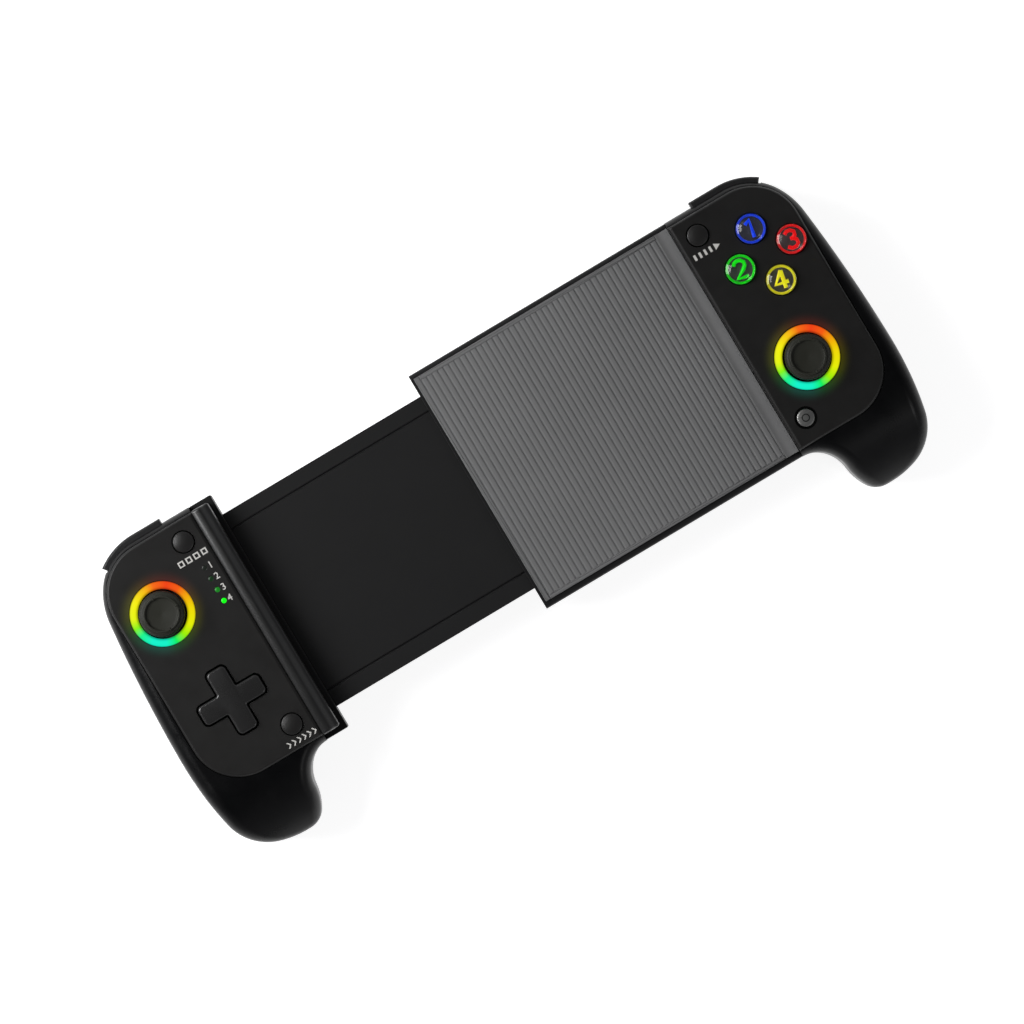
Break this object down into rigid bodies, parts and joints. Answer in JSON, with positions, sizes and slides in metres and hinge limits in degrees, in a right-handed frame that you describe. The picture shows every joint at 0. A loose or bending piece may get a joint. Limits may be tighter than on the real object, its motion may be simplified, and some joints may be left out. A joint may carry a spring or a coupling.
{
  "type": "mobile game controller",
  "caption": "Stretching game controller that clamps a phone between two hand modules with sticks, keys and triggers.",
  "frame": {"origin": "centre of the bounding box at the plane the controller lies on", "axes": "+X towards the module with the face keys, +Y towards the shoulder buttons, +Z out of the face"},
  "size_m": [0.2484, 0.1033, 0.04],
  "materials": {
    "shell_black": "fine texture",
    "plate_black": "satin",
    "ring_light": "glowing, colours round the ring",
    "inner_plastic": "plain",
    "board_green": "plain",
    "membrane_grey": "plain",
    "sleeve_black": "satin",
    "pad_grey": "ribbed",
    "port_steel": "plain",
    "battery_silver": "foil",
    "pin_steel": "plain",
    "clamp_gloss": "glossy",
    "tray_black": "satin",
    "cap_rubber": "plain",
    "key_black": "satin",
    "home_metal": "metallic",
    "key_blue": "gloss",
    "key_green": "gloss",
    "key_red": "gloss",
    "key_yellow": "gloss",
    "key_clear": "clear",
    "light_green": "lit"
  },
  "bodies": {
    "right_module": {"right_rear_shell": "shell_black", "right_front_shell": "shell_black", "right_face_plate": "plate_black", "right_light_ring": "ring_light", "right_stick_housing": "inner_plastic", "right_circuit_board": "board_green", "right_membrane": "membrane_grey", "bridge_sleeve": "sleeve_black", "sleeve_back_cover": "sleeve_black", "ribbed_pad": "pad_grey", "charge_port": "port_steel", "battery": "battery_silver", "right_trigger_pin": "pin_steel"},
    "left_module": {"left_rear_shell": "shell_black", "left_front_shell": "shell_black", "left_face_plate": "plate_black", "clamp_lip": "sleeve_black", "clamp_pad": "clamp_gloss", "slide_tray": "tray_black", "left_light_ring": "ring_light", "left_stick_housing": "inner_plastic", "left_circuit_board": "board_green", "indicator_lights": "light_green", "left_membrane": "membrane_grey", "left_trigger_pin": "pin_steel"},
    "right_stick_slide": {"right_stick_carrier": "inner_plastic"},
    "right_stick_tilt": {"right_stick_gimbal": "inner_plastic"},
    "right_stick": {"right_stick_cap": "cap_rubber"},
    "left_stick_slide": {"left_stick_carrier": "inner_plastic"},
    "left_stick_tilt": {"left_stick_gimbal": "inner_plastic"},
    "left_stick": {"left_stick_cap": "cap_rubber"},
    "blue_key": {"blue_key": "key_blue", "blue_key_cap": "key_clear"},
    "green_key": {"green_key": "key_green", "green_key_cap": "key_clear"},
    "red_key": {"red_key": "key_red", "red_key_cap": "key_clear"},
    "yellow_key": {"yellow_key": "key_yellow", "yellow_key_cap": "key_clear"},
    "start_button": {"start_button": "key_black"},
    "home_button": {"home_button": "home_metal"},
    "select_button": {"select_button": "key_black"},
    "turbo_button": {"turbo_button": "key_black"},
    "dpad_pivot": {"dpad_pivot": "inner_plastic"},
    "dpad": {"dpad": "key_black"},
    "right_bumper": {"right_bumper": "key_black"},
    "right_trigger": {"right_trigger": "key_black"},
    "left_bumper": {"left_bumper": "key_black"},
    "left_trigger": {"left_trigger": "key_black"}
  },
  "joints": [
    {"name": "bridge_slide", "type": "slide", "parent": "right_module", "child": "left_module", "axis": [1, 0, 0], "range_m": [-0.005, 0.069]},
    {"name": "right_stick_click", "type": "slide", "parent": "right_module", "child": "right_stick_slide", "axis": [0, 0, -1], "range_m": [0, 0.0005], "stiffness_N_per_m": 2500, "springref_m": -0.0001},
    {"name": "right_stick_tilt_x", "type": "hinge", "parent": "right_stick_slide", "child": "right_stick_tilt", "pos_m": [0.0994, -0.0064, 0.027], "axis": [1, 0, 0], "range_deg": [-14, 14], "stiffness_Nm_per_rad": 0.03},
    {"name": "right_stick_tilt_y", "type": "hinge", "parent": "right_stick_tilt", "child": "right_stick", "pos_m": [0.0994, -0.0064, 0.027], "axis": [0, 1, 0], "range_deg": [-14, 14], "stiffness_Nm_per_rad": 0.03},
    {"name": "left_stick_click", "type": "slide", "parent": "left_module", "child": "left_stick_slide", "axis": [0, 0, -1], "range_m": [0, 0.0005], "stiffness_N_per_m": 2500, "springref_m": -0.0001},
    {"name": "left_stick_tilt_x", "type": "hinge", "parent": "left_stick_slide", "child": "left_stick_tilt", "pos_m": [-0.106, 0.0264, 0.027], "axis": [1, 0, 0], "range_deg": [-14, 14], "stiffness_Nm_per_rad": 0.03},
    {"name": "left_stick_tilt_y", "type": "hinge", "parent": "left_stick_tilt", "child": "left_stick", "pos_m": [-0.106, 0.0264, 0.027], "axis": [0, 1, 0], "range_deg": [-14, 14], "stiffness_Nm_per_rad": 0.03},
    {"name": "blue_key_press", "type": "slide", "parent": "right_module", "child": "blue_key", "axis": [0, 0, -1], "range_m": [0, 0.0012], "stiffness_N_per_m": 600, "springref_m": -0.0001, "deforming": ["right_membrane"]},
    {"name": "green_key_press", "type": "slide", "parent": "right_module", "child": "green_key", "axis": [0, 0, -1], "range_m": [0, 0.0012], "stiffness_N_per_m": 600, "springref_m": -0.0001, "deforming": ["right_membrane"]},
    {"name": "red_key_press", "type": "slide", "parent": "right_module", "child": "red_key", "axis": [0, 0, -1], "range_m": [0, 0.0012], "stiffness_N_per_m": 600, "springref_m": -0.0001, "deforming": ["right_membrane"]},
    {"name": "yellow_key_press", "type": "slide", "parent": "right_module", "child": "yellow_key", "axis": [0, 0, -1], "range_m": [0, 0.0012], "stiffness_N_per_m": 600, "springref_m": -0.0001, "deforming": ["right_membrane"]},
    {"name": "start_button_press", "type": "slide", "parent": "right_module", "child": "start_button", "axis": [0, 0, -1], "range_m": [0, 0.0008], "stiffness_N_per_m": 600, "springref_m": -0.0001, "deforming": ["right_membrane"]},
    {"name": "home_button_press", "type": "slide", "parent": "right_module", "child": "home_button", "axis": [0, 0, -1], "range_m": [0, 0.0005], "stiffness_N_per_m": 600, "springref_m": -0.0001, "deforming": ["right_membrane"]},
    {"name": "select_button_press", "type": "slide", "parent": "left_module", "child": "select_button", "axis": [0, 0, -1], "range_m": [0, 0.0008], "stiffness_N_per_m": 600, "springref_m": -0.0001, "deforming": ["left_membrane"]},
    {"name": "turbo_button_press", "type": "slide", "parent": "left_module", "child": "turbo_button", "axis": [0, 0, -1], "range_m": [0, 0.0008], "stiffness_N_per_m": 600, "springref_m": -0.0001, "deforming": ["left_membrane"]},
    {"name": "dpad_rock_x", "type": "hinge", "parent": "left_module", "child": "dpad_pivot", "pos_m": [-0.1013, -0.0064, 0.027], "axis": [1, 0, 0], "range_deg": [-3, 3], "stiffness_Nm_per_rad": 0.6, "deforming": ["left_membrane"]},
    {"name": "dpad_rock_y", "type": "hinge", "parent": "dpad_pivot", "child": "dpad", "pos_m": [-0.1013, -0.0064, 0.0283], "axis": [0, 1, 0], "range_deg": [-3, 3], "stiffness_Nm_per_rad": 0.6, "deforming": ["left_membrane"]},
    {"name": "right_bumper_press", "type": "slide", "parent": "right_module", "child": "right_bumper", "axis": [0, -1, 0], "range_m": [0, 0.0007], "stiffness_N_per_m": 1500, "springref_m": -0.0001},
    {"name": "right_trigger_pull", "type": "hinge", "parent": "right_module", "child": "right_trigger", "pos_m": [0.1052, 0.0405, 0.0162], "axis": [-1, 0, 0], "range_deg": [0, 14], "stiffness_Nm_per_rad": 0.08, "springref_deg": -2.86},
    {"name": "left_bumper_press", "type": "slide", "parent": "left_module", "child": "left_bumper", "axis": [0, -1, 0], "range_m": [0, 0.0007], "stiffness_N_per_m": 1500, "springref_m": -0.0001},
    {"name": "left_trigger_pull", "type": "hinge", "parent": "left_module", "child": "left_trigger", "pos_m": [-0.1052, 0.0405, 0.0162], "axis": [-1, 0, 0], "range_deg": [0, 14], "stiffness_Nm_per_rad": 0.08, "springref_deg": -2.86}
  ]
}
